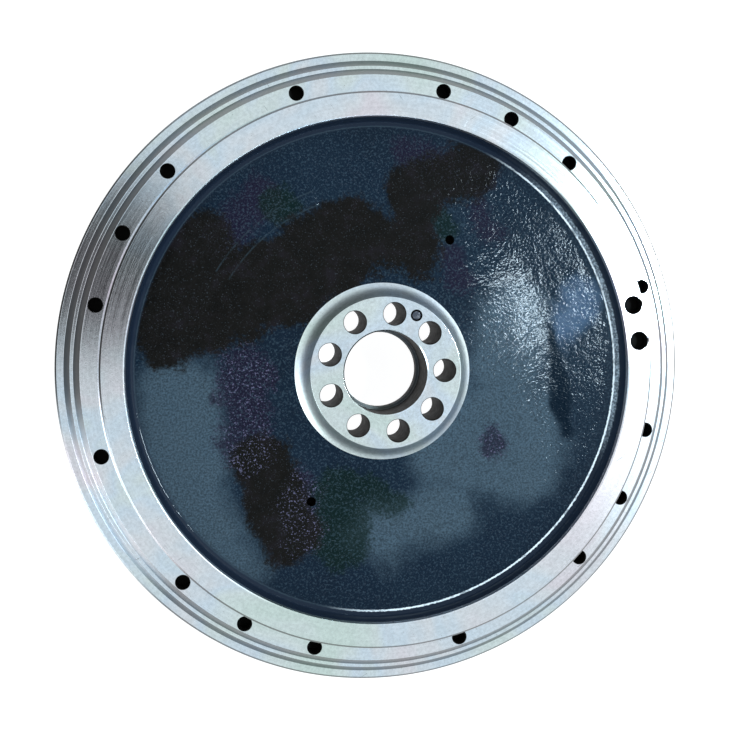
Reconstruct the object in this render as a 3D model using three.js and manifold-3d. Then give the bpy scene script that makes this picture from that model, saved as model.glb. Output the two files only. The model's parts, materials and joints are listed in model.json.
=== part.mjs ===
// Truck engine flywheel, lying on its clutch side with the crankshaft side up.
// Millimetres, +Z up along the spin axis; the origin is on the axis in the plane it rests on.

import * as THREE from 'three';
import * as BufferGeometryUtils from 'three/addons/utils/BufferGeometryUtils.js';
import Module from 'manifold-3d';

const wasm = await Module();
wasm.setup();

// ---- driving dimensions -------------------------------------------------------------

const OUTER_R = 252;             // outside of the rim
const EDGE_CHAMFER = 1.5;        // on both outer corners of the rim
const FLANGE_Z = 24.5;           // outermost flat ring on the crank side

// two sloped bands climb from the outer flange to the ring gear seat
const SLOPE_1_FOOT_R = 245.1;
const SLOPE_1_TOP_R = 239.6;
const LEDGE_Z = 34;
const SLOPE_2_FOOT_R = 237;
const SLOPE_2_TOP_R = 231.4;

// seat of the starter ring gear: a flat stop face and the register it centres on
const GEAR_STOP_Z = 43.3;
const REGISTER_R = 215.5;
const REGISTER_CHAMFER = 1.5;
const GROOVE_R = 218;            // tool run-out groove at the register's foot
const GROOVE_DEPTH = 0.8;
const RIM_TOP_Z = 65.6;

// painted dish between the rim and the boss
const RIM_TOP_INNER_R = 197;
const BEVEL_FOOT_R = 195.9;
const BEVEL_FOOT_Z = 61.5;
const WALL_FOOT_R = 189.3;
const WALL_FOOT_Z = 50;
const WALL_FILLET = 5;
const FLOOR_MID_R = 116;
const FLOOR_MID_Z = 52.6;

// boss that meets the crankshaft flange
const BOSS_ROOT_R = 68.4;
const BOSS_ROOT_Z = 62.4;
const BOSS_FACE_R = 57.9;
const BOSS_FACE_Z = 80;
const BOSS_FLANK_SAG = 1.6;      // how far the flank hollows in from a straight cone

// stepped centre bore
const BORE_R = 32;
const BORE_LIP_R = 29.5;
const BORE_LIP_TOP_Z = 42;
const BORE_CHAMFER = 1;

// clutch side
const BOLT_SEAT_Z = 33.7;        // where the crank bolts' heads bear
const RECESS_R = 108;
const RECESS_FILLET = 6;
const FRICTION_INNER_R = 119.5;
const FRICTION_OUTER_R = 216;
const FRICTION_Z = 16;
const COVER_SEAT_INNER_R = 218.5;
const COVER_SEAT_Z = 8;
const LIP_INNER_R = 243;

// holes
const CRANK_BOLTS = { count: 9, circleR: 45.25, r: 8.65, first: 0 };
const GEAR_SCREWS = { count: 12, circleR: 225, r: 5.55, first: 15, depth: 15 };
const GEAR_DOWELS = { count: 4, circleR: 225, r: 5.55, first: 60, depth: 15 };
const COVER_BOLTS = { count: 12, circleR: 225, r: 4.25, first: 0, depth: 16 };
const WEB_HOLES = { count: 2, circleR: 115.7, r: 3.7, first: 60, depth: 14 };
const BALANCE_HOLES = { circleR: 206.5, r: 7.1, angles: [4.4, 12.4], depth: 12 };

// pressed-in pins
const FIT_GAP = 0.3;             // room left round a pressed piece
const CRANK_PIN = { circleR: 49.4, angle: 60, r: 4, length: 20, sunk: 0.8 };
const CLUTCH_PIN = { count: 3, circleR: 225, first: 45, r: 5, length: 20, proud: 7 };
const PIN_CHAMFER = 0.8;

// facets
const TURNED_SIDES = 72;
const HOLE_SIDES = 16;
const SMALL_HOLE_SIDES = 12;
const FILLET_STEPS = 3;
const FLANK_STEPS = 4;

// ---- materials ----------------------------------------------------------------------

const castIron = new THREE.MeshStandardMaterial({ color: 0xb9c2c9, roughness: 0.35, metalness: 1.0 });
const pinSteel = new THREE.MeshStandardMaterial({ color: 0x2b2f36, roughness: 0.4, metalness: 1.0 });

// ---- helpers ------------------------------------------------------------------------

const radians = (degrees) => (degrees * Math.PI) / 180;

function polar(r, degrees, z = 0) {
  return new THREE.Vector3(r * Math.cos(radians(degrees)), r * Math.sin(radians(degrees)), z);
}

// Closed mesh to manifold solid, turned the right way out.
function toSolid(geometry) {
  const bare = geometry.index ? geometry.toNonIndexed() : geometry.clone();
  bare.deleteAttribute('normal');
  bare.deleteAttribute('uv');
  const merged = BufferGeometryUtils.mergeVertices(bare, 1e-4);
  const triVerts = [];
  for (let i = 0; i < merged.index.count; i += 3) {
    const [a, b, c] = [0, 1, 2].map((k) => merged.index.getX(i + k));
    if (a !== b && b !== c && c !== a) triVerts.push(a, b, c);
  }
  const mesh = new wasm.Mesh({
    numProp: 3,
    vertProperties: new Float32Array(merged.attributes.position.array),
    triVerts: new Uint32Array(triVerts),
  });
  return new wasm.Manifold(mesh);
}

function toGeometry(solid) {
  const mesh = solid.getMesh();
  const geometry = new THREE.BufferGeometry();
  geometry.setAttribute('position', new THREE.BufferAttribute(new Float32Array(mesh.vertProperties), 3));
  geometry.setIndex(new THREE.BufferAttribute(new Uint32Array(mesh.triVerts), 1));
  geometry.computeVertexNormals();
  return geometry;
}

// A closed outline of [r, z] points turned about +Z; the outline runs anticlockwise.
function turned(outline, sides) {
  const points = outline.map(([r, z]) => new THREE.Vector2(r, z));
  points.push(points[0].clone());
  const geometry = new THREE.LatheGeometry(points, sides);
  return geometry.rotateX(Math.PI / 2).rotateZ(Math.PI / 2);
}

// Round pin or drill standing on [x, y] from low to high.
function rod(centre, r, low, high, sides) {
  const geometry = new THREE.CylinderGeometry(r, r, high - low, sides);
  return geometry.rotateX(Math.PI / 2).translate(centre.x, centre.y, (low + high) / 2);
}

// Points of a quarter-like arc from one [r, z] to another around a centre.
function arc(centreR, centreZ, radius, fromDegrees, toDegrees, steps = FILLET_STEPS) {
  const points = [];
  for (let i = 0; i <= steps; i += 1) {
    const a = radians(fromDegrees + ((toDegrees - fromDegrees) * i) / steps);
    points.push([centreR + radius * Math.cos(a), centreZ + radius * Math.sin(a)]);
  }
  return points;
}

function circleAngles({ count, first }) {
  return Array.from({ length: count }, (_, i) => first + (360 * i) / count);
}

function namedMesh(name, geometry, material) {
  const mesh = new THREE.Mesh(geometry, material);
  mesh.name = name;
  return mesh;
}

// ---- the casting --------------------------------------------------------------------

// Hollow flank of the boss, from its root up to the crankshaft face.
function bossFlank() {
  const root = new THREE.Vector2(BOSS_ROOT_R, BOSS_ROOT_Z);
  const top = new THREE.Vector2(BOSS_FACE_R, BOSS_FACE_Z);
  const middle = root.clone().lerp(top, 0.5).subScalar(2 * BOSS_FLANK_SAG);
  const curve = new THREE.QuadraticBezierCurve(root, middle, top);
  return curve.getPoints(FLANK_STEPS).map((p) => [p.x, p.y]);
}

// Half section of the casting, anticlockwise from the resting lip's outer corner.
function castingOutline() {
  return [
    [OUTER_R - EDGE_CHAMFER, 0],
    [OUTER_R, EDGE_CHAMFER],
    [OUTER_R, FLANGE_Z - EDGE_CHAMFER],
    [OUTER_R - EDGE_CHAMFER, FLANGE_Z],
    [SLOPE_1_FOOT_R, FLANGE_Z],
    [SLOPE_1_TOP_R, LEDGE_Z],
    [SLOPE_2_FOOT_R, LEDGE_Z],
    [SLOPE_2_TOP_R, GEAR_STOP_Z],
    [GROOVE_R, GEAR_STOP_Z],
    [GROOVE_R - GROOVE_DEPTH, GEAR_STOP_Z - GROOVE_DEPTH],
    [REGISTER_R, GEAR_STOP_Z - GROOVE_DEPTH],
    [REGISTER_R, RIM_TOP_Z - REGISTER_CHAMFER],
    [REGISTER_R - REGISTER_CHAMFER, RIM_TOP_Z],
    [RIM_TOP_INNER_R, RIM_TOP_Z],
    [BEVEL_FOOT_R, BEVEL_FOOT_Z],
    ...arc(WALL_FOOT_R, WALL_FOOT_Z + WALL_FILLET, WALL_FILLET, -15, -90),
    [FLOOR_MID_R, FLOOR_MID_Z],
    ...bossFlank(),
    [BORE_R + BORE_CHAMFER, BOSS_FACE_Z],
    [BORE_R, BOSS_FACE_Z - BORE_CHAMFER],
    [BORE_R, BORE_LIP_TOP_Z],
    [BORE_LIP_R, BORE_LIP_TOP_Z],
    [BORE_LIP_R, BOLT_SEAT_Z + BORE_CHAMFER],
    [BORE_LIP_R + BORE_CHAMFER, BOLT_SEAT_Z],
    ...arc(RECESS_R - RECESS_FILLET, BOLT_SEAT_Z - RECESS_FILLET, RECESS_FILLET, 90, 20),
    [FRICTION_INNER_R, FRICTION_Z],
    [FRICTION_OUTER_R, FRICTION_Z],
    [COVER_SEAT_INNER_R, COVER_SEAT_Z],
    [LIP_INNER_R, COVER_SEAT_Z],
    [LIP_INNER_R, 0],
  ];
}

// Drills of one circle of holes, each from low to high.
function drills(circle, low, high, sides) {
  return circleAngles(circle).map((a) => rod(polar(circle.circleR, a), circle.r, low, high, sides));
}

function castingDrills() {
  const over = 2;
  const gearLow = GEAR_STOP_Z - GEAR_SCREWS.depth;
  const webFloor = FLOOR_MID_Z - WEB_HOLES.depth;
  const balanceLow = RIM_TOP_Z - BALANCE_HOLES.depth;
  const crankPinLow = BOSS_FACE_Z - CRANK_PIN.sunk - CRANK_PIN.length - FIT_GAP;
  const clutchPinTop = COVER_SEAT_Z - CLUTCH_PIN.proud + CLUTCH_PIN.length + FIT_GAP;
  const balance = BALANCE_HOLES.angles.map((a) =>
    rod(polar(BALANCE_HOLES.circleR, a), BALANCE_HOLES.r, balanceLow, RIM_TOP_Z + over, HOLE_SIDES));
  const clutchPinHoles = { ...CLUTCH_PIN, r: CLUTCH_PIN.r + FIT_GAP };
  return [
    ...drills(CRANK_BOLTS, BOLT_SEAT_Z - over, BOSS_FACE_Z + over, HOLE_SIDES),
    ...drills(GEAR_SCREWS, gearLow, GEAR_STOP_Z + over, SMALL_HOLE_SIDES),
    ...drills(GEAR_DOWELS, gearLow, GEAR_STOP_Z + over, SMALL_HOLE_SIDES),
    ...drills(COVER_BOLTS, COVER_SEAT_Z - over, COVER_SEAT_Z + COVER_BOLTS.depth, SMALL_HOLE_SIDES),
    ...drills(WEB_HOLES, webFloor, FLOOR_MID_Z + 2 * over, SMALL_HOLE_SIDES),
    ...drills(clutchPinHoles, COVER_SEAT_Z - over, clutchPinTop, SMALL_HOLE_SIDES),
    ...balance,
    rod(polar(CRANK_PIN.circleR, CRANK_PIN.angle), CRANK_PIN.r + FIT_GAP,
      crankPinLow, BOSS_FACE_Z + over, SMALL_HOLE_SIDES),
  ];
}

function castingGeometry() {
  let solid = toSolid(turned(castingOutline(), TURNED_SIDES));
  for (const drill of castingDrills()) solid = solid.subtract(toSolid(drill));
  return toGeometry(solid);
}

// ---- the pins -----------------------------------------------------------------------

// Straight pin with both ends chamfered, standing on z = 0.
function pinGeometry({ r, length }) {
  const outline = [
    [0, 0], [r - PIN_CHAMFER, 0], [r, PIN_CHAMFER],
    [r, length - PIN_CHAMFER], [r - PIN_CHAMFER, length], [0, length],
  ];
  return toGeometry(toSolid(turned(outline, SMALL_HOLE_SIDES)));
}

function crankPin() {
  const pin = namedMesh('crank_dowel_pin', pinGeometry(CRANK_PIN), pinSteel);
  const low = BOSS_FACE_Z - CRANK_PIN.sunk - CRANK_PIN.length;
  pin.position.copy(polar(CRANK_PIN.circleR, CRANK_PIN.angle, low));
  return pin;
}

function clutchPins() {
  const low = COVER_SEAT_Z - CLUTCH_PIN.proud;
  return circleAngles(CLUTCH_PIN).map((angle, i) => {
    const pin = namedMesh(`clutch_dowel_pin_${i + 1}`, pinGeometry(CLUTCH_PIN), pinSteel);
    pin.position.copy(polar(CLUTCH_PIN.circleR, angle, low));
    return pin;
  });
}

// ---- assembly -----------------------------------------------------------------------

const flywheel = new THREE.Group();
flywheel.add(namedMesh('flywheel_casting', castingGeometry(), castIron));
flywheel.add(crankPin(), ...clutchPins());

export default flywheel;
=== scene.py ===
import json
import math

import bpy
import numpy as np
from mathutils import Euler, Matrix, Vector


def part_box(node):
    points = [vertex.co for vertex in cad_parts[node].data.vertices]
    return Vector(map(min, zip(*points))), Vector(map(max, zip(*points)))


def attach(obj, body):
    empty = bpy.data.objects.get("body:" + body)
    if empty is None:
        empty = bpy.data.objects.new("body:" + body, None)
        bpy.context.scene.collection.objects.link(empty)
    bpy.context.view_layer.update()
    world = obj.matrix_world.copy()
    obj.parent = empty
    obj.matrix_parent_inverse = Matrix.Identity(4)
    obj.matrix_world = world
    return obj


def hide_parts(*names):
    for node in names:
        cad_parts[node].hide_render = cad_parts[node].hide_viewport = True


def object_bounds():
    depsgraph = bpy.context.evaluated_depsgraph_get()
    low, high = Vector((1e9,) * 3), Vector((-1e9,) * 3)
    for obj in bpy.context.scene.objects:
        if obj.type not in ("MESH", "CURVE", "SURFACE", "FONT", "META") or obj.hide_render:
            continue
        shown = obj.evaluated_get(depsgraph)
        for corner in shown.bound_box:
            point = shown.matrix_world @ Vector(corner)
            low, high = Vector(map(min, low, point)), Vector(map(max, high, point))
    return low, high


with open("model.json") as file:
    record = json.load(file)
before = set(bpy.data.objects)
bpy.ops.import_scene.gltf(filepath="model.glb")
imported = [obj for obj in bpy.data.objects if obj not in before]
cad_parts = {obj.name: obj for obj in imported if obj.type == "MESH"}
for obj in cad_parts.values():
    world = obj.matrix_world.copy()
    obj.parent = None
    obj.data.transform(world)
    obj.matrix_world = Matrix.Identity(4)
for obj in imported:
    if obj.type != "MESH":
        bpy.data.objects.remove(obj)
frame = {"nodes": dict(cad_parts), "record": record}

cad_low, cad_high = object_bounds()

# ---------------------------------------------------------------------------
# Sizes, in metres. Heights come from the frame's mounts; +Z is the spin axis.
# ---------------------------------------------------------------------------

MM = 0.001
MOUNT_Z = {m["name"]: m["pos_m"][2] for m in frame["record"]["mounts"]}

OUTER_R = cad_high.x
BOSS_Z = MOUNT_Z["crank_flange_face"]
RIM_Z = MOUNT_Z["rim_top_face"]
STOP_Z = MOUNT_Z["ring_gear_stop"]
BOLT_SEAT_Z = MOUNT_Z["crank_bolt_seat"]
FRICTION_Z = MOUNT_Z["clutch_friction_face"]
COVER_Z = MOUNT_Z["clutch_cover_seat"]

# rim, crank side
EDGE_CHAMFER = 1.5 * MM
FLANGE_Z = 24.5 * MM
SLOPE_1 = (245.1 * MM, 239.6 * MM)     # foot and top radius
LEDGE_Z = 34 * MM
SLOPE_2 = (237 * MM, 231.4 * MM)
GROOVE_R = 218 * MM
GROOVE_DEPTH = 0.8 * MM
REGISTER_R = 215.5 * MM
REGISTER_CHAMFER = 1.5 * MM
RIM_INNER_R = 197 * MM
BEVEL_FOOT = (195.9 * MM, 61.5 * MM)

# dish
WALL_FOOT_R = 189.3 * MM
WALL_FOOT_Z = 50 * MM
WALL_FILLET = 5 * MM
FLOOR_MID = (116 * MM, 52.6 * MM)
BOSS_ROOT = (68.4 * MM, 62.4 * MM)
SKIN = 1.2 * MM                        # thickness of the painted casting skin
SKIN_GAP = 0.3 * MM

# raised blank strip on the dish, where a casting carries its marks
PAD_R = (137.5 * MM, 149 * MM)         # inner and outer radius
PAD_ANGLES = (109, 147)                # degrees
PAD_HEIGHT = 0.6 * MM
PAD_EDGE = 1.3 * MM                    # width of its sloped edge

# boss and bore
BOSS_FACE_R = 57.9 * MM
BOSS_SAG = 1.6 * MM
BORE_R = 32 * MM
BORE_LIP_R = 29.5 * MM
BORE_LIP_TOP_Z = 42 * MM
BORE_CHAMFER = 1 * MM

# clutch side
RECESS_R = 108 * MM
RECESS_FILLET = 6 * MM
FRICTION_R = (119.5 * MM, 216 * MM)
COVER_R = (218.5 * MM, 243 * MM)

# holes: how many, radius of their circle, their own radius and the first one's angle
HOLE_CIRCLE_R = 225 * MM
OVER = 2 * MM                          # how far a drill stands past the face
CRANK_BOLTS = dict(count=9, circle=45.25 * MM, r=8.65 * MM, first=0)
GEAR_SCREWS = dict(count=12, circle=HOLE_CIRCLE_R, r=5.55 * MM, first=15)
GEAR_DOWELS = dict(count=4, circle=HOLE_CIRCLE_R, r=5.55 * MM, first=60)
COVER_BOLTS = dict(count=12, circle=HOLE_CIRCLE_R, r=4.25 * MM, first=0)
WEB_HOLES = dict(count=2, circle=115.7 * MM, r=3.7 * MM, first=60)
CLUTCH_PINS = dict(count=3, circle=HOLE_CIRCLE_R, r=5.1 * MM, first=45)
CRANK_PIN = dict(count=1, circle=49.4 * MM, r=4.1 * MM, first=60)
BALANCE_HOLES = dict(circle=206.5 * MM, r=7.1 * MM, angles=(4.4, 12.4))
GEAR_DEPTH = 15 * MM
COVER_DEPTH = 16 * MM
WEB_DEPTH = 14 * MM
BALANCE_DEPTH = 12 * MM
PIN_DEPTH = 21.1 * MM
MOUTH = 0.45 * MM                      # chamfer at a hole's mouth

# mesh density
SIDES = 360
SKIN_SIDES = 720
SKIN_STEP = 1.25 * MM
HOLE_SIDES = 40
SUPPORT = 0.25 * MM                    # loop that keeps a flat face flat beside a round

# finishes, in slot order on the casting
TURNED, ROUGH_TURNED, SATIN, PAINTED, DRILLED = range(5)


# ---------------------------------------------------------------------------
# Mesh helpers
# ---------------------------------------------------------------------------

def new_object(name, verts, faces, materials, finishes=None):
    mesh = bpy.data.meshes.new(name)
    mesh.from_pydata([tuple(v) for v in verts], [], [tuple(f) for f in faces])
    for material in materials:
        mesh.materials.append(material)
    if finishes is not None:
        mesh.polygons.foreach_set("material_index", np.asarray(finishes, dtype=np.int32))
    mesh.update()
    made = bpy.data.objects.new(name, mesh)
    bpy.context.scene.collection.objects.link(made)
    return made


def rounded(corners, steps=4):
    """Closed [(r, z, round, finish)] outline to fine points, with small rounds and support points.
    A corner's finish is that of the face that runs from it to the next corner."""
    points, finishes = [], []
    count = len(corners)
    for i in range(count):
        r, z, radius, finish = corners[i]
        here = Vector((r, z))
        before = Vector(corners[i - 1][:2])
        after = Vector(corners[(i + 1) % count][:2])
        to_before, to_after = before - here, after - here
        if radius <= 0:
            points.append(here)
            finishes.append(finish)
            continue
        half = to_before.angle(to_after) / 2
        reach = min(radius / math.tan(half), 0.3 * min(to_before.length, to_after.length))
        a = here + to_before.normalized() * reach
        b = here + to_after.normalized() * reach
        room = to_before.length * 0.5 - reach
        if room > SUPPORT:
            points.append(a + to_before.normalized() * SUPPORT)
            finishes.append(corners[i - 1][3])
        for k in range(steps + 1):
            t = k / steps
            points.append(a * (1 - t) ** 2 + here * 2 * t * (1 - t) + b * t ** 2)
            finishes.append(finish if t >= 0.5 else corners[i - 1][3])
        if to_after.length * 0.5 - reach > SUPPORT:
            points.append(b + to_after.normalized() * SUPPORT)
            finishes.append(finish)
    return points, finishes


def lathe(name, points, finishes, sides, materials):
    """Turns a closed outline, anticlockwise in (r, z), about +Z."""
    outline = np.array([(p[0], p[1]) for p in points])
    count = len(outline)
    angle = np.arange(sides) * 2 * math.pi / sides
    cos, sin = np.cos(angle)[:, None], np.sin(angle)[:, None]
    verts = np.stack([
        outline[None, :, 0] * cos, outline[None, :, 0] * sin,
        np.broadcast_to(outline[None, :, 1], (sides, count)),
    ], axis=2).reshape(-1, 3)
    ring, along = np.meshgrid(np.arange(sides), np.arange(count), indexing="ij")
    next_ring, next_along = (ring + 1) % sides, (along + 1) % count
    faces = np.stack([
        ring * count + along, next_ring * count + along,
        next_ring * count + next_along, ring * count + next_along,
    ], axis=2).reshape(-1, 4)
    return new_object(name, verts, faces, materials, np.tile(finishes, sides))


def hole_places(circle, angles):
    return [(circle * math.cos(math.radians(a)), circle * math.sin(math.radians(a))) for a in angles]


def circle_angles(holes):
    return [holes["first"] + 360 * k / holes["count"] for k in range(holes["count"])]


def drill_outline(r, low, high, mouths):
    """(r, z) from the drill's tip to its shank, widening to a chamfer at each mouth height."""
    if low in mouths:
        start = [(r + MOUTH + OVER, low - OVER), (r, low + MOUTH)]
    else:
        start = [(r, low)]
    if high in mouths:
        return start + [(r, high - MOUTH), (r + MOUTH + OVER, high + OVER)]
    return start + [(r, high)]


def drill_mesh(place, outline, sides):
    """Vertices and faces of one capped drill."""
    verts, faces = [], []
    for r, z in outline:
        for k in range(sides):
            a = 2 * math.pi * k / sides
            verts.append((place[0] + r * math.cos(a), place[1] + r * math.sin(a), z))
    for row in range(len(outline) - 1):
        for k in range(sides):
            a, b = row * sides + k, row * sides + (k + 1) % sides
            faces.append((a, b, b + sides, a + sides))
    faces.append(tuple(reversed(range(sides))))
    top = (len(outline) - 1) * sides
    faces.append(tuple(range(top, top + sides)))
    return verts, faces


def drill_set(name, drills, materials, finish):
    """One object holding every drill in [(place, outline)]."""
    verts, faces = [], []
    for place, outline in drills:
        new_verts, new_faces = drill_mesh(place, outline, HOLE_SIDES)
        faces += [tuple(i + len(verts) for i in f) for f in new_faces]
        verts += new_verts
    return new_object(name, verts, faces, materials, [finish] * len(faces))


def cut(target, drills):
    """Takes the drills out of the target for good and removes them."""
    modifier = target.modifiers.new("holes", "BOOLEAN")
    modifier.operation, modifier.object, modifier.solver = "DIFFERENCE", drills, "MANIFOLD"
    modifier.material_mode = "INDEX"
    graph = bpy.context.evaluated_depsgraph_get()
    finished = bpy.data.meshes.new_from_object(target.evaluated_get(graph))
    target.modifiers.clear()
    target.data = finished
    bpy.data.objects.remove(drills)


def smooth(target, degrees=35):
    target.data.shade_smooth()
    target.data.set_sharp_from_angle(angle=math.radians(degrees))


# ---------------------------------------------------------------------------
# Procedural roughness of cast iron, as vertex moves
# ---------------------------------------------------------------------------

def lattice_value(cell, seed):
    """A steady pseudo-random number in -1..1 for each integer cell."""
    mixed = cell[:, 0] * 73856093 ^ cell[:, 1] * 19349663 ^ cell[:, 2] * 83492791 ^ seed * 2654435761
    mixed = (mixed ^ (mixed >> 13)) * 1274126177 & 0x7FFFFFFF
    return mixed / 0x3FFFFFFF - 1.0


def cast_noise(points, size, seed):
    """Smooth value noise with lumps about `size` metres across."""
    scaled = points / size
    base = np.floor(scaled).astype(np.int64)
    part = scaled - base
    part = part * part * (3 - 2 * part)
    total = np.zeros(len(points))
    for corner in np.ndindex(2, 2, 2):
        weight = np.prod(np.where(corner, part, 1 - part), axis=1)
        total += weight * lattice_value(base + np.array(corner), seed)
    return total


# ---------------------------------------------------------------------------
# Geometry of the pieces
# ---------------------------------------------------------------------------

def dish_line():
    """(r, z) of the painted surface from the bevel's foot in to the boss."""
    points = [Vector(BEVEL_FOOT)]
    centre = Vector((WALL_FOOT_R, WALL_FOOT_Z + WALL_FILLET))
    for k in range(9):
        a = math.radians(-15 - 75 * k / 8)
        points.append(centre + WALL_FILLET * Vector((math.cos(a), math.sin(a))))
    # a parabola through the middle keeps the floor's hollow smooth up to the boss
    foot, middle, root = (WALL_FOOT_R, WALL_FOOT_Z), FLOOR_MID, BOSS_ROOT
    steps = 24
    for k in range(1, steps + 1):
        r = foot[0] + (root[0] - foot[0]) * k / steps
        z = sum(
            p[1] * math.prod((r - q[0]) / (p[0] - q[0]) for q in (foot, middle, root) if q is not p)
            for p in (foot, middle, root)
        )
        points.append(Vector((r, max(z, WALL_FOOT_Z))))
    return points


def evenly(points, step):
    """The same line with points no further apart than step."""
    fine = [points[0]]
    for a, b in zip(points, points[1:]):
        count = max(1, math.ceil((b - a).length / step))
        fine += [a.lerp(b, k / count) for k in range(1, count + 1)]
    return fine


def casting_outline():
    root, top = Vector(BOSS_ROOT), Vector((BOSS_FACE_R, BOSS_Z))
    hollow = root.lerp(top, 0.5) - Vector((2, 2)) * BOSS_SAG
    flank = [root.lerp(hollow, k / 10).lerp(hollow.lerp(top, k / 10), k / 10) for k in range(10)]
    recess = Vector((RECESS_R - RECESS_FILLET, BOLT_SEAT_Z - RECESS_FILLET))
    fine, edge = 0.2 * MM, 0.4 * MM
    corners = [
        (OUTER_R - EDGE_CHAMFER, 0, fine, ROUGH_TURNED),
        (OUTER_R, EDGE_CHAMFER, fine, ROUGH_TURNED),
        (OUTER_R, FLANGE_Z - EDGE_CHAMFER, fine, ROUGH_TURNED),
        (OUTER_R - EDGE_CHAMFER, FLANGE_Z, fine, TURNED),
        (SLOPE_1[0], FLANGE_Z, edge, ROUGH_TURNED),
        (SLOPE_1[1], LEDGE_Z, edge, TURNED),
        (SLOPE_2[0], LEDGE_Z, edge, ROUGH_TURNED),
        (SLOPE_2[1], STOP_Z, edge, TURNED),
        (GROOVE_R, STOP_Z, fine, TURNED),
        (GROOVE_R - GROOVE_DEPTH, STOP_Z - GROOVE_DEPTH, edge, TURNED),
        (REGISTER_R, STOP_Z - GROOVE_DEPTH, edge, TURNED),
        (REGISTER_R, RIM_Z - REGISTER_CHAMFER, fine, ROUGH_TURNED),
        (REGISTER_R - REGISTER_CHAMFER, RIM_Z, fine, TURNED),
        (RIM_INNER_R + 0.4 * MM, RIM_Z, fine, TURNED),
        (RIM_INNER_R - 0.4 * MM, RIM_Z - 0.8 * MM, fine, SATIN),
        (BEVEL_FOOT[0], BEVEL_FOOT[1], 0, PAINTED),
    ]
    sunk = SKIN + SKIN_GAP
    for p in dish_line()[1:-1]:
        corners.append((p.x, p.y - sunk, 0, PAINTED))
    corners += [
        (BOSS_ROOT[0], BOSS_ROOT[1] - sunk, 0, PAINTED),
        *[(p.x, p.y, 0, SATIN) for p in flank],
        (BOSS_FACE_R, BOSS_Z, edge, TURNED),
        (BORE_R + BORE_CHAMFER, BOSS_Z, fine, TURNED),
        (BORE_R, BOSS_Z - BORE_CHAMFER, fine, DRILLED),
        (BORE_R, BORE_LIP_TOP_Z, fine, ROUGH_TURNED),
        (BORE_LIP_R, BORE_LIP_TOP_Z, fine, DRILLED),
        (BORE_LIP_R, BOLT_SEAT_Z + BORE_CHAMFER, fine, TURNED),
        (BORE_LIP_R + BORE_CHAMFER, BOLT_SEAT_Z, fine, TURNED),
    ]
    for a in (90, 66, 43, 20):
        p = recess + RECESS_FILLET * Vector((math.cos(math.radians(a)), math.sin(math.radians(a))))
        corners.append((p.x, p.y, 0, PAINTED))
    corners += [
        (FRICTION_R[0], FRICTION_Z, edge, TURNED),
        (FRICTION_R[1], FRICTION_Z, edge, TURNED),
        (COVER_R[0], COVER_Z, edge, TURNED),
        (COVER_R[1], COVER_Z, edge, TURNED),
        (COVER_R[1], 0, edge, TURNED),
    ]
    return corners


def casting_drills(materials):
    def row(holes, low, high, mouths, angles=None):
        outline = drill_outline(holes["r"], low, high, mouths)
        places = hole_places(holes["circle"], angles or circle_angles(holes))
        return [(place, outline) for place in places]

    return drill_set("drills", [
        *row(CRANK_BOLTS, BOLT_SEAT_Z, BOSS_Z, (BOLT_SEAT_Z, BOSS_Z)),
        *row(GEAR_SCREWS, STOP_Z - GEAR_DEPTH, STOP_Z, (STOP_Z,)),
        *row(GEAR_DOWELS, STOP_Z - GEAR_DEPTH, STOP_Z, (STOP_Z,)),
        *row(COVER_BOLTS, COVER_Z, COVER_Z + COVER_DEPTH, (COVER_Z,)),
        *row(CLUTCH_PINS, COVER_Z, COVER_Z + COVER_DEPTH, (COVER_Z,)),
        *row(WEB_HOLES, FLOOR_MID[1] - WEB_DEPTH, FLOOR_MID[1] + OVER, ()),
        *row(BALANCE_HOLES, RIM_Z - BALANCE_DEPTH, RIM_Z, (RIM_Z,), BALANCE_HOLES["angles"]),
        *row(CRANK_PIN, BOSS_Z - PIN_DEPTH, BOSS_Z, (BOSS_Z,)),
    ], materials, DRILLED)


def make_casting(materials):
    points, finishes = rounded(casting_outline())
    casting = lathe("flywheel_casting_machined", points, finishes, SIDES, materials)
    cut(casting, casting_drills(materials))
    smooth(casting)
    return casting


def pad_height(x, y):
    """Height of the raised strip above the dish."""
    r = np.hypot(x, y)
    angle = np.degrees(np.arctan2(y, x))
    middle, half = sum(PAD_ANGLES) / 2, (PAD_ANGLES[1] - PAD_ANGLES[0]) / 2
    along = (half - np.abs(angle - middle)) * np.radians(1) * r
    across = (PAD_R[1] - PAD_R[0]) / 2 - np.abs(r - sum(PAD_R) / 2)
    inside = np.clip(np.minimum(along, across) / PAD_EDGE + 0.5, 0, 1)
    return PAD_HEIGHT * inside * inside * (3 - 2 * inside)


def make_skin(material):
    """The painted sand-cast surface of the dish: a thin closed shell with a rough top."""
    top = evenly(dish_line(), SKIN_STEP)
    under = [Vector((p.x, p.y - SKIN)) for p in reversed(top)]
    under[-1].x -= SKIN_GAP
    line = top + under
    skin = lathe("dish_painted_skin", line, [0] * len(line), SKIN_SIDES, [material])
    count, mesh = len(line), skin.data
    place = np.empty(len(mesh.vertices) * 3)
    mesh.vertices.foreach_get("co", place)
    place = place.reshape(-1, 3)
    along = np.tile(np.arange(count), SKIN_SIDES)
    on_top = along < len(top)
    spot = place[on_top]
    away = np.minimum(along[on_top], len(top) - 1 - along[on_top]) * SKIN_STEP
    fade = np.clip(away / (4 * MM), 0, 1)
    lift = (
        0.22 * MM * cast_noise(spot, 28 * MM, 1)
        + 0.10 * MM * cast_noise(spot, 9 * MM, 2)
        + 0.07 * MM * cast_noise(spot, 3.4 * MM, 3)
    )
    spot[:, 2] += fade * lift + pad_height(spot[:, 0], spot[:, 1])
    place[on_top] = spot
    mesh.vertices.foreach_set("co", place.ravel())
    mesh.update()
    places = hole_places(WEB_HOLES["circle"], circle_angles(WEB_HOLES))
    outline = [(WEB_HOLES["r"], FLOOR_MID[1] - 5 * MM), (WEB_HOLES["r"], FLOOR_MID[1] + 5 * MM)]
    cut(skin, drill_set("web_drills", [(p, outline) for p in places], [material], 0))
    smooth(skin, 60)
    return skin


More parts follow.
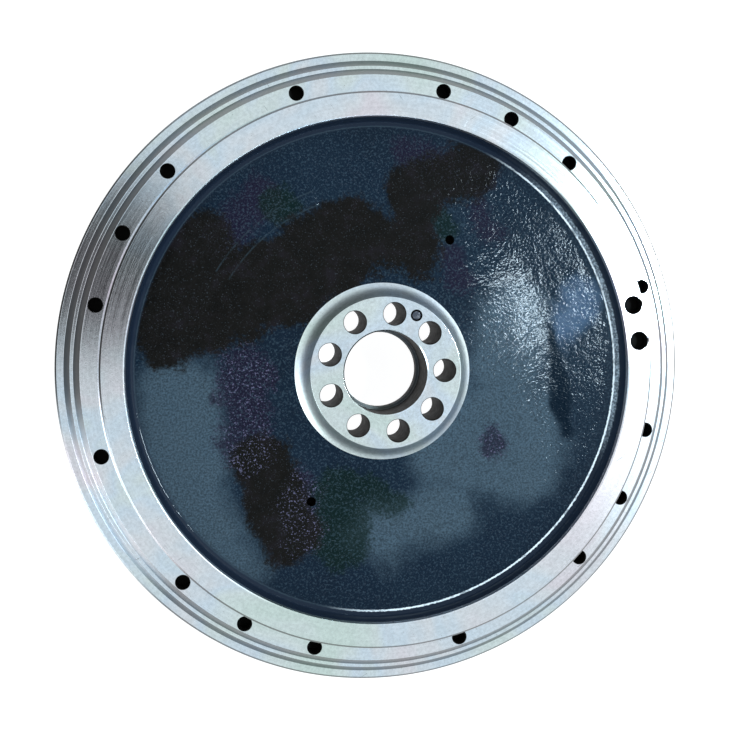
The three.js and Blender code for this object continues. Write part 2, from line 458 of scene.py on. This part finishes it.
def make_pin(node, material):
    """A ground parallel pin with rounded ends, standing where the frame's pin stands."""
    low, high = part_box(node)
    r, middle = (high.x - low.x) / 2, (low + high) / 2
    ends, edge = 1.2 * MM, 0.5 * MM
    corners = [
        (0.3 * MM, low.z, 0, 0),
        (r - ends * 0.7, low.z, edge, 0),
        (r, low.z + ends, edge, 0),
        (r, high.z - ends, edge, 0),
        (r - ends * 0.7, high.z, edge, 0),
        (0.3 * MM, high.z, 0, 0),
        (0.05 * MM, high.z - 0.3 * MM, 0, 0),
        (0.05 * MM, low.z + 0.3 * MM, 0, 0),
    ]
    points, finishes = rounded(corners)
    pin = lathe(node + "_ground", points, finishes, 48, [material])
    pin.location = (middle.x, middle.y, 0)
    smooth(pin)
    return pin


# ---------------------------------------------------------------------------
# Materials
# ---------------------------------------------------------------------------

class Nodes:
    """Short hand for building one material's nodes."""

    def __init__(self, name):
        self.material = bpy.data.materials.new(name)
        self.material.use_nodes = True
        self.tree = self.material.node_tree
        self.shader = self.tree.nodes["Principled BSDF"]

    def add(self, kind, inputs=None, **settings):
        made = self.tree.nodes.new(kind)
        for key, value in settings.items():
            setattr(made, key, value)
        for key, value in (inputs or {}).items():
            self.put(made.inputs[key], value)
        return made

    def put(self, socket, value):
        if isinstance(value, bpy.types.NodeSocket):
            self.tree.links.new(value, socket)
        else:
            socket.default_value = value

    def math(self, operation, a, b=0.0):
        return self.add("ShaderNodeMath", {0: a, 1: b}, operation=operation).outputs[0]

    def vector(self, operation, a, b=(0, 0, 0), out=0):
        return self.add("ShaderNodeVectorMath", {0: a, 1: b}, operation=operation).outputs[out]

    def scale(self, vector, by):
        return self.add("ShaderNodeVectorMath", {0: vector, "Scale": by}, operation="SCALE").outputs[0]

    def wander(self, noise, span):
        """A signed distance that follows the noise, span being its whole range."""
        return self.math("MULTIPLY", self.math("SUBTRACT", noise, 0.5), span)

    def outward(self, where):
        """Unit direction from the spin axis."""
        return self.vector("NORMALIZE", self.vector("MULTIPLY", where, (1, 1, 0)))

    def toward(self, direction, where):
        return self.vector("DOT_PRODUCT", where, direction, out="Value")

    def noise(self, where, scale, detail=2.0, roughness=0.5, distortion=0.0):
        return self.add("ShaderNodeTexNoise", {
            "Vector": where, "Scale": scale, "Detail": detail,
            "Roughness": roughness, "Distortion": distortion,
        }).outputs["Fac"]

    def remap(self, value, low, high, to_low=0.0, to_high=1.0):
        return self.add("ShaderNodeMapRange", {
            "Value": value, "From Min": low, "From Max": high, "To Min": to_low, "To Max": to_high,
        }, interpolation_type="SMOOTHSTEP").outputs["Result"]

    def mix(self, share, a, b):
        made = self.add("ShaderNodeMix", data_type="RGBA")
        self.put(made.inputs["Factor"], share)
        self.put(made.inputs["A"], a)
        self.put(made.inputs["B"], b)
        return made.outputs["Result"]

    def ramp(self, value, stops):
        made = self.add("ShaderNodeValToRGB", {"Fac": value})
        elements = made.color_ramp.elements
        while len(elements) < len(stops):
            elements.new(0.5)
        for element, (at, colour) in zip(elements, stops):
            element.position, element.color = at, (*colour, 1)
        return made.outputs["Color"]

    def bump(self, height, distance, strength=1.0, normal=None):
        made = self.add("ShaderNodeBump", {"Height": height, "Distance": distance, "Strength": strength})
        if normal is not None:
            self.put(made.inputs["Normal"], normal)
        return made.outputs["Normal"]

    def place(self):
        return self.add("ShaderNodeTexCoord").outputs["Object"]

    def turning(self, where, pitch):
        """Noise drawn out into rings about the spin axis, like the marks of a lathe tool."""
        flat = self.vector("MULTIPLY", where, (1, 1, 0))
        radius = self.vector("LENGTH", flat, out="Value")
        parts = self.add("ShaderNodeSeparateXYZ", {0: where})
        angle = self.math("ARCTAN2", parts.outputs["Y"], parts.outputs["X"])
        rings = self.add("ShaderNodeCombineXYZ", {
            "X": self.math("DIVIDE", radius, pitch),
            "Y": self.math("DIVIDE", parts.outputs["Z"], pitch),
            "Z": self.math("MULTIPLY", angle, 2.5),
        }).outputs[0]
        return self.noise(rings, 1.0, 3.0, 0.6)

    def set(self, **values):
        for key, value in values.items():
            self.put(self.shader.inputs[key.replace("_", " ")], value)


def scratched(n, where, colour):
    """A few short handling scratches, each way across the face."""
    for turn, offset in ((0.6, 3.0), (2.1, 11.0)):
        across = n.toward((math.cos(turn), math.sin(turn), 0), where)
        along = n.toward((-math.sin(turn), math.cos(turn), 0), where)
        drawn = n.add("ShaderNodeCombineXYZ", {
            "X": n.math("MULTIPLY", across, 900.0), "Y": n.math("MULTIPLY", along, 45.0), "Z": offset,
        }).outputs[0]
        line = n.remap(n.noise(drawn, 1.0, 1.0), 0.735, 0.765)
        sparse = n.remap(n.noise(n.vector("ADD", where, (offset, 0, 0)), 34.0, 2.0), 0.56, 0.62)
        share = n.math("MULTIPLY", n.math("MULTIPLY", line, sparse), 0.7)
        colour = n.mix(share, colour, (0.16, 0.17, 0.18, 1))
    return colour


def machined(name, tone, roughness, mark_depth, painted_shade_side=1.0, painted_highlight_side=1.0):
    """Turned iron: ring marks, faint tarnish in pastel tints, specks and old stains.
    The fifth argument is how much darker the colour is painted toward -X, as painted shade,
    and the sixth how much brighter it is painted next to that, as a painted highlight."""
    n = Nodes(name)
    where = n.place()
    marks = n.turning(where, 0.35 * MM)
    broad_marks = n.turning(where, 1.6 * MM)
    tarnish = n.noise(where, 9.0, 3.0, 0.55, 0.6)
    tint = n.ramp(tarnish, [
        (0.34, (0.69, 0.79, 0.75)), (0.43, (0.75, 0.81, 0.81)), (0.50, (0.71, 0.79, 0.88)),
        (0.57, (0.79, 0.80, 0.84)), (0.66, (0.82, 0.76, 0.81)),
    ])
    mottle = n.remap(n.noise(where, 420.0, 3.0, 0.6), 0.3, 0.7, 0.90, 1.05)
    shade = n.math("MULTIPLY", mottle, n.remap(broad_marks, 0.3, 0.7, 0.96, 1.02))
    outward = n.outward(where)
    # painted shade toward -X and a painted highlight beside it, multiplied into the colour
    painted_dark = n.toward((-0.951, 0.309, 0), outward)
    wear_and_painted_highlight = n.toward((-0.920, -0.391, 0), outward)
    shade = n.math("MULTIPLY", shade, n.remap(painted_dark, 0.80, 1.00, 1.0, painted_shade_side))
    shade = n.math("MULTIPLY", shade, n.remap(wear_and_painted_highlight, 0.92, 0.99, 1.0, painted_highlight_side))
    toned = n.scale(tint, n.math("MULTIPLY", shade, tone))
    stain_spots = n.remap(n.noise(where, 26.0, 5.0, 0.7, 0.8), 0.66, 0.76)
    stained = n.mix(n.math("MULTIPLY", stain_spots, 0.45), toned, (0.36, 0.31, 0.25, 1))
    specks = n.remap(n.noise(where, 900.0, 1.0), 0.73, 0.77)
    speckled = n.mix(n.math("MULTIPLY", specks, 0.6), stained, (0.18, 0.18, 0.19, 1))
    speckled = scratched(n, where, speckled)
    rough = n.math("ADD", roughness, n.remap(marks, 0.3, 0.7, -0.03, 0.05))
    rough = n.math("ADD", rough, n.math("MULTIPLY", stain_spots, 0.15))
    grain = n.bump(n.noise(where, 1300.0, 2.0), 0.00003, 0.35)
    n.set(
        Base_Color=speckled, Metallic=1.0, Roughness=rough, Anisotropic=0.35,
        Normal=n.bump(marks, mark_depth, 0.6, grain),
        Tangent=n.add("ShaderNodeTangent", direction_type="RADIAL", axis="Z").outputs[0],
    )
    return n.material


# patches on the paint, most of them painted reflections (dark patches, a grey sheen, a highlight), and
# one dark run: each runs between two points, with a half width, all in millimetres
# painted dark reflections, near black and warm
DARK_REFLECTIONS = [
    ((-162, 38), (-137, 98), 30), ((-146, 52), (-69, 73), 35), ((-69, 73), (-13, 106), 33),
    ((-13, 106), (26, 93), 20), ((26, 93), (27, 140), 17), ((27, 140), (78, 156), 23),
    ((-92, -74), (-82, -116), 28),
]
# purple-tinted painted dark reflections
PURPLE = [
    ((-106, 2), (-104, -60), 19), ((-66, -83), (-67, -122), 16), ((-118, 104), (-92, 134), 15),
    ((30, 166), (86, 150), 15), ((84, -58), (92, -64), 9), ((62, 88), (70, 70), 8),
    ((84, 122), (92, 104), 9),
]
# green-tinted painted dark reflections
GREEN = [
    ((-39, -92), (-33, -135), 21), ((-12, -93), (8, -104), 13), ((-80, 128), (-70, 132), 8),
    ((48, 122), (56, 110), 9),
]
# painted sheen: grey-blue patches standing in for the sky's reflection in the gloss
SHEEN_SPOTS = [
    ((-156, -16), (-151, -94), 33), ((-151, -94), (-122, -138), 25), ((54, -49), (104, -64), 44),
    ((100, 0), (110, 30), 30), ((0, -126), (46, -112), 24),
]
WINDOW_HIGHLIGHT_SPOTS = [((148, 28), (164, 44), 15)]     # painted highlight, bluish, where the window's reflection lies
RUN = [((137, 30), (149, -56), 6)]     # a smooth dark run in the paint


def blots(n, where, spots, wander, soft):
    """1 inside the spots, 0 outside, with a wandering edge."""
    nearest = None
    for start, end, half in spots:
        a, b = Vector((*start, 0)) * MM, Vector((*end, 0)) * MM
        along = b - a
        moved = n.vector("MULTIPLY", n.vector("SUBTRACT", where, a), (1, 1, 0))
        share = n.math("DIVIDE", n.toward(along, moved), along.length_squared)
        share = n.math("MINIMUM", n.math("MAXIMUM", share, 0.0), 1.0)
        back = n.scale(along, share)
        gap = n.vector("LENGTH", n.vector("SUBTRACT", moved, back), out="Value")
        gap = n.math("SUBTRACT", gap, half * MM)
        nearest = gap if nearest is None else n.math("SMOOTH_MIN", nearest, gap)
        if gap is not nearest:
            nearest.node.inputs[2].default_value = 8 * MM
    return n.remap(n.math("ADD", nearest, wander), soft, -soft)


def cast_paint(name):
    """Gloss blue-black paint over sand-cast iron, with painted reflections in its colour: dark patches,
    a grey sheen, glints and highlights.
    """
    n = Nodes(name)
    where = n.place()
    slow = n.wander(n.noise(where, 26.0, 4.0, 0.6), 48 * MM)
    quick = n.wander(n.noise(where, 420.0, 2.0, 0.6), 16 * MM)
    wander = n.math("ADD", slow, quick)
    dark_reflection = blots(n, where, DARK_REFLECTIONS, wander, 5 * MM)
    purple = n.math("MULTIPLY", blots(n, where, PURPLE, wander, 5 * MM), 0.85)
    green = n.math("MULTIPLY", blots(n, where, GREEN, wander, 5 * MM), 0.75)
    sheen = blots(n, where, SHEEN_SPOTS, slow, 14 * MM)

    blend = n.noise(where, 14.0, 4.0, 0.6)
    paint = n.ramp(blend, [
        (0.30, (0.0010, 0.0062, 0.0150)),
        (0.48, (0.0014, 0.0080, 0.0190)),
        (0.70, (0.0028, 0.0110, 0.0230)),
    ])
    speckle = n.remap(n.noise(where, 700.0, 2.0, 0.6), 0.35, 0.65, 0.55, 1.25)
    # slate colour of the painted sheen
    sheen_colour = n.mix(n.noise(where, 40.0), (0.0380, 0.0640, 0.0900, 1), (0.0430, 0.0660, 0.0870, 1))
    sheen_colour = n.scale(sheen_colour, speckle)
    colour = n.mix(sheen, paint, sheen_colour)
    # painted highlight of the window, bluish
    window_highlight = n.math("MULTIPLY", blots(n, where, WINDOW_HIGHLIGHT_SPOTS, slow, 10 * MM), 0.7)
    colour = n.mix(window_highlight, colour, (0.060, 0.110, 0.190, 1))
    run = blots(n, where, RUN, n.math("MULTIPLY", slow, 0.5), 3 * MM)
    colour = n.mix(run, colour, (0.0006, 0.0048, 0.0115, 1))
    # purple and green tints of the painted dark reflections
    colour = n.mix(purple, colour, (0.0080, 0.0062, 0.0175, 1))
    colour = n.mix(green, colour, (0.0010, 0.0085, 0.0050, 1))
    # near-black warm colour of the painted dark reflections
    dark_reflection_colour = n.ramp(n.noise(where, 70.0, 4.0, 0.65), [
        (0.35, (0.0044, 0.0041, 0.0037)),
        (0.52, (0.0062, 0.0055, 0.0050)),
        (0.68, (0.0095, 0.0080, 0.0100)),
    ])
    colour = n.mix(dark_reflection, colour, dark_reflection_colour)
    # painted glints, as pale grains: fine ones all over, coarser ones where the paint has a purple cast
    fine_glints = n.math("MULTIPLY", n.remap(n.noise(where, 950.0, 2.0, 0.6), 0.60, 0.72), 0.14)
    colour = n.mix(fine_glints, colour, (0.190, 0.230, 0.290, 1))
    peaks = n.math("MULTIPLY", n.remap(n.noise(where, 560.0, 2.0, 0.6), 0.50, 0.66), 0.26)
    peaks = n.math("MULTIPLY", peaks, n.remap(n.math("MAXIMUM", dark_reflection, run), 0.0, 1.0, 1.0, 0.0))
    colour = n.mix(peaks, colour, (0.060, 0.100, 0.135, 1))
    coarse_glints = n.remap(n.noise(where, 620.0, 2.0, 0.6), 0.58, 0.67, 0.0, 0.85)
    below = n.toward((0, -1, 0), where)
    coarse_glints = n.math("MULTIPLY", coarse_glints, n.remap(below, -0.06, -0.03, 0.12, 1.0))
    colour = n.mix(n.math("MULTIPLY", coarse_glints, purple), colour, (0.125, 0.120, 0.200, 1))
    flat = n.vector("LENGTH", n.vector("MULTIPLY", where, (1, 1, 0)), out="Value")
    colour = n.mix(n.remap(flat, 188 * MM, 191 * MM), colour, (0.0095, 0.0160, 0.0300, 1))
    # painted highlight a little along both long edges of the raised strip, standing in for the light on
    # its relief
    middle, half = sum(PAD_R) / 2, (PAD_R[1] - PAD_R[0]) / 2
    from_middle = n.math("ABSOLUTE", n.math("SUBTRACT", flat, middle))
    from_edge = n.math("ABSOLUTE", n.math("SUBTRACT", from_middle, half))
    turn = math.radians(sum(PAD_ANGLES) / 2)
    on_strip = n.toward((math.cos(turn), math.sin(turn), 0), n.outward(where))
    wear_and_painted_highlight = n.math("MULTIPLY", n.remap(from_edge, 0.8 * MM, 0.3 * MM), n.remap(on_strip, 0.943, 0.947))
    wear_and_painted_highlight = n.math("MULTIPLY", wear_and_painted_highlight, n.remap(n.noise(where, 160.0, 3.0, 0.6), 0.35, 0.60, 0.05, 0.45))
    colour = n.mix(wear_and_painted_highlight, colour, (0.028, 0.046, 0.060, 1))
    # painted highlight in a line round the wall's foot, strongest on the side away from the dark
    # patches, with a fainter painted line all round
    ragged = n.math("ADD", flat, n.wander(n.noise(where, 500.0, 2.0), 1.3 * MM))
    off_line = n.math("ABSOLUTE", n.math("SUBTRACT", ragged, 190.0 * MM))
    facing = n.toward((0.93, -0.37, 0), where)
    foot_highlight = n.math("MULTIPLY", n.remap(off_line, 0.9 * MM, 0.4 * MM), n.remap(facing, 0.018, 0.075))
    foot_highlight = n.math("MULTIPLY", foot_highlight, n.remap(n.noise(where, 90.0, 4.0, 0.7), 0.30, 0.52, 0.25, 1.0))
    foot_line_highlight = n.math("MULTIPLY", n.remap(off_line, 0.6 * MM, 0.3 * MM), 0.6)
    colour = n.mix(foot_line_highlight, colour, (0.030, 0.048, 0.065, 1))
    # painted glints in the lower part of the wall there, as pale sand grains
    aside = n.toward((0.97, 0.24, 0), where)
    wall_glints = n.math(
        "MULTIPLY", n.remap(ragged, 194.0 * MM, 193.2 * MM), n.remap(ragged, 190.0 * MM, 190.6 * MM)
    )
    wall_glints = n.math("MULTIPLY", wall_glints, n.remap(aside, 0.145, 0.180))
    wall_glints = n.math("MULTIPLY", wall_glints, n.remap(n.noise(where, 620.0, 2.0, 0.6), 0.42, 0.66, 0.25, 1.0))
    colour = n.mix(wall_glints, colour, (0.30, 0.38, 0.46, 1))
    # the painted highlight at the wall's foot
    colour = n.mix(foot_highlight, colour, (0.80, 0.88, 0.95, 1))
    # rougher, less coated paint where the dark reflections are painted
    painted_dark = n.math("MAXIMUM", dark_reflection, n.math("MULTIPLY", n.math("MAXIMUM", purple, green), 0.7))

    # the sand texture fades out toward the smooth fillet at the wall's foot
    open_floor = n.remap(flat, 187.5 * MM, 180 * MM, 0.12, 1.0)
    sand = n.noise(where, 480.0, 1.5, 0.5)
    fine_sand = n.noise(where, 1000.0, 1.0, 0.5)
    coarse = n.bump(sand, 0.00021, open_floor)
    surface = n.bump(fine_sand, 0.00005, open_floor, coarse)
    n.set(
        Base_Color=colour, Metallic=0.0,
        Roughness=n.remap(painted_dark, 0.0, 1.0, 0.34, 0.40),
        Specular_IOR_Level=n.remap(painted_dark, 0.0, 1.0, 0.03, 0.01),
        Specular_Tint=(0.55, 0.80, 1.0, 1),
        Coat_Weight=n.math(
            "MULTIPLY", n.remap(painted_dark, 0.0, 1.0, 0.23, 0.12), n.remap(run, 0.0, 1.0, 1.0, 0.25)
        ),
        Coat_Roughness=0.03, Coat_IOR=1.45,
        Normal=surface, Coat_Normal=surface,
    )
    return n.material


def drilled(name):
    """Dark, near-black walls of holes and bores, painted shade inside them."""
    n = Nodes(name)
    where = n.place()
    shade = n.noise(where, 260.0, 3.0, 0.6)
    n.set(
        Base_Color=n.ramp(shade, [(0.3, (0.0035, 0.0030, 0.0028)), (0.7, (0.0090, 0.0078, 0.0068))]),
        Metallic=0.0, Roughness=n.remap(shade, 0.3, 0.7, 0.50, 0.62), Specular_IOR_Level=0.07,
        Normal=n.bump(n.turning(where, 0.5 * MM), 0.00002, 0.5),
    )
    return n.material


def black_oxide(name):
    """Ground steel pins with a black oxide finish, rubbed brighter in places."""
    n = Nodes(name)
    where = n.place()
    wear_and_painted_highlight = n.remap(n.noise(where, 600.0, 3.0), 0.5, 0.7)
    n.set(
        Base_Color=n.mix(wear_and_painted_highlight, (0.035, 0.038, 0.048, 1), (0.12, 0.12, 0.13, 1)),
        Metallic=0.9, Roughness=n.remap(wear_and_painted_highlight, 0.0, 1.0, 0.42, 0.30),
        Normal=n.bump(n.noise(where, 1500.0), 0.00002, 0.4),
    )
    return n.material


def floor_paper(name):
    n = Nodes(name)
    grain = n.noise(n.place(), 60.0, 3.0)
    n.set(
        Base_Color=n.ramp(grain, [(0.3, (0.24, 0.24, 0.24)), (0.7, (0.27, 0.27, 0.27))]),
        Roughness=0.9, Emission_Color=(1, 1, 1, 1), Emission_Strength=0.9,
    )
    return n.material


# ---------------------------------------------------------------------------
# Assembly of the looks
# ---------------------------------------------------------------------------

turned_iron = machined("turned_iron", 1.0, 0.085, 0.00002)
# its last two numbers paint shade toward -X and a highlight beside it on this finish
rough_turned_iron = machined("rough_turned_iron", 0.22, 0.34, 0.00004, 0.14, 3.4)
satin_iron = machined("satin_iron", 1.0, 0.40, 0.00003)
painted_iron = cast_paint("painted_cast_iron")
drilled_iron = drilled("drilled_iron")
pin_steel = black_oxide("black_oxide_steel")

casting = make_casting([turned_iron, rough_turned_iron, satin_iron, painted_iron, drilled_iron])
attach(casting, "root")
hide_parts("flywheel_casting")

skin = make_skin(painted_iron)
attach(skin, "root")

for node in sorted(frame["nodes"]):
    if "pin" in node:
        pin = make_pin(node, pin_steel)
        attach(pin, "root")
        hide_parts(node)


# ---------------------------------------------------------------------------
# Floor, light and camera
# ---------------------------------------------------------------------------

CAMERA_PLACE = (-0.1451, 0.0746, 1.0190)
CAMERA_TURN = (-1.855, -7.943, -1.800)      # degrees about X, Y, Z, from looking straight down
CAMERA_LENS = 61.81                         # mm
CAMERA_SHIFT = -0.06
WINDOW_PLACE = (1.27, 0.12, 2.45)
WINDOW_SIZE = (0.36, 0.34)
WINDOW_POWER = 44                           # W
WINDOW_COLOUR = (0.72, 0.89, 1.0)
SKY_COLOUR = (0.88, 0.97, 1.0, 1)


def make_floor():
    half = 8.0
    corners = [(-half, -half, 0), (half, -half, 0), (half, half, 0), (-half, half, 0)]
    floor = new_object("floor", corners, [(0, 1, 2, 3)], [floor_paper("pale_floor")])
    floor.location.z = cad_low.z - 0.1 * MM


def make_light(name, place, target, size, power, colour):
    data = bpy.data.lights.new(name, "AREA")
    data.shape, data.size, data.size_y = "RECTANGLE", size[0], size[1]
    data.energy, data.color = power, colour
    light = bpy.data.objects.new(name, data)
    light.location = place
    light.rotation_euler = (Vector(target) - Vector(place)).to_track_quat("-Z", "Y").to_euler()
    bpy.context.scene.collection.objects.link(light)


def make_world():
    """A soft studio: pale all round, brighter low on two sides and in one place high up,
    with one dim patch overhead."""
    world = bpy.data.worlds.new("studio")
    bpy.context.scene.world = world
    world.use_nodes = True
    nodes, links = world.node_tree.nodes, world.node_tree.links
    direction = nodes.new("ShaderNodeTexCoord").outputs["Generated"]

    def facing(toward, near, far, low, high):
        """low away from a direction, rising to high between the angles far and near from it."""
        dot = nodes.new("ShaderNodeVectorMath")
        dot.operation = "DOT_PRODUCT"
        links.new(direction, dot.inputs[0])
        dot.inputs[1].default_value = Vector(toward).normalized()
        span = nodes.new("ShaderNodeMapRange")
        span.interpolation_type = "SMOOTHSTEP"
        links.new(dot.outputs["Value"], span.inputs["Value"])
        span.inputs["From Min"].default_value = math.cos(math.radians(far))
        span.inputs["From Max"].default_value = math.cos(math.radians(near))
        span.inputs["To Min"].default_value = low
        span.inputs["To Max"].default_value = high
        return span.outputs["Result"]

    def combine(operation, a, b):
        node = nodes.new("ShaderNodeMath")
        node.operation = operation
        links.new(a, node.inputs[0])
        links.new(b, node.inputs[1])
        return node.outputs[0]

    overhead = facing((-0.074, 0.018, 1), 2.2, 5.6, 1.0, 0.06)
    all_round = facing((-0.75, 0.65, 0.25), 20, 75, 0.88, 1.0)
    for toward, near, far, extra in (
        ((0.42, -0.10, 1), 2, 9, 0.8),
        ((-0.89, -0.43, 0.26), 8, 22, 4.5),
        ((0.95, 0.25, 0.28), 10, 42, 1.3),
    ):
        all_round = combine("ADD", all_round, facing(toward, near, far, 0.0, extra))
    strength = combine("MULTIPLY", overhead, all_round)
    background = nodes["Background"]
    background.inputs["Color"].default_value = SKY_COLOUR
    links.new(strength, background.inputs["Strength"])


def make_camera():
    data = bpy.data.cameras.new("camera")
    data.lens, data.sensor_width = CAMERA_LENS, 36.0
    data.shift_y = CAMERA_SHIFT
    data.clip_end = 50
    camera = bpy.data.objects.new("camera", data)
    camera.location = CAMERA_PLACE
    camera.rotation_euler = Euler([math.radians(a) for a in CAMERA_TURN])
    bpy.context.scene.collection.objects.link(camera)
    bpy.context.scene.camera = camera


make_floor()
make_light("window", WINDOW_PLACE, (0.05, 0, 0), WINDOW_SIZE, WINDOW_POWER, WINDOW_COLOUR)
make_world()
make_camera()
bpy.context.scene.view_settings.view_transform = "Standard"
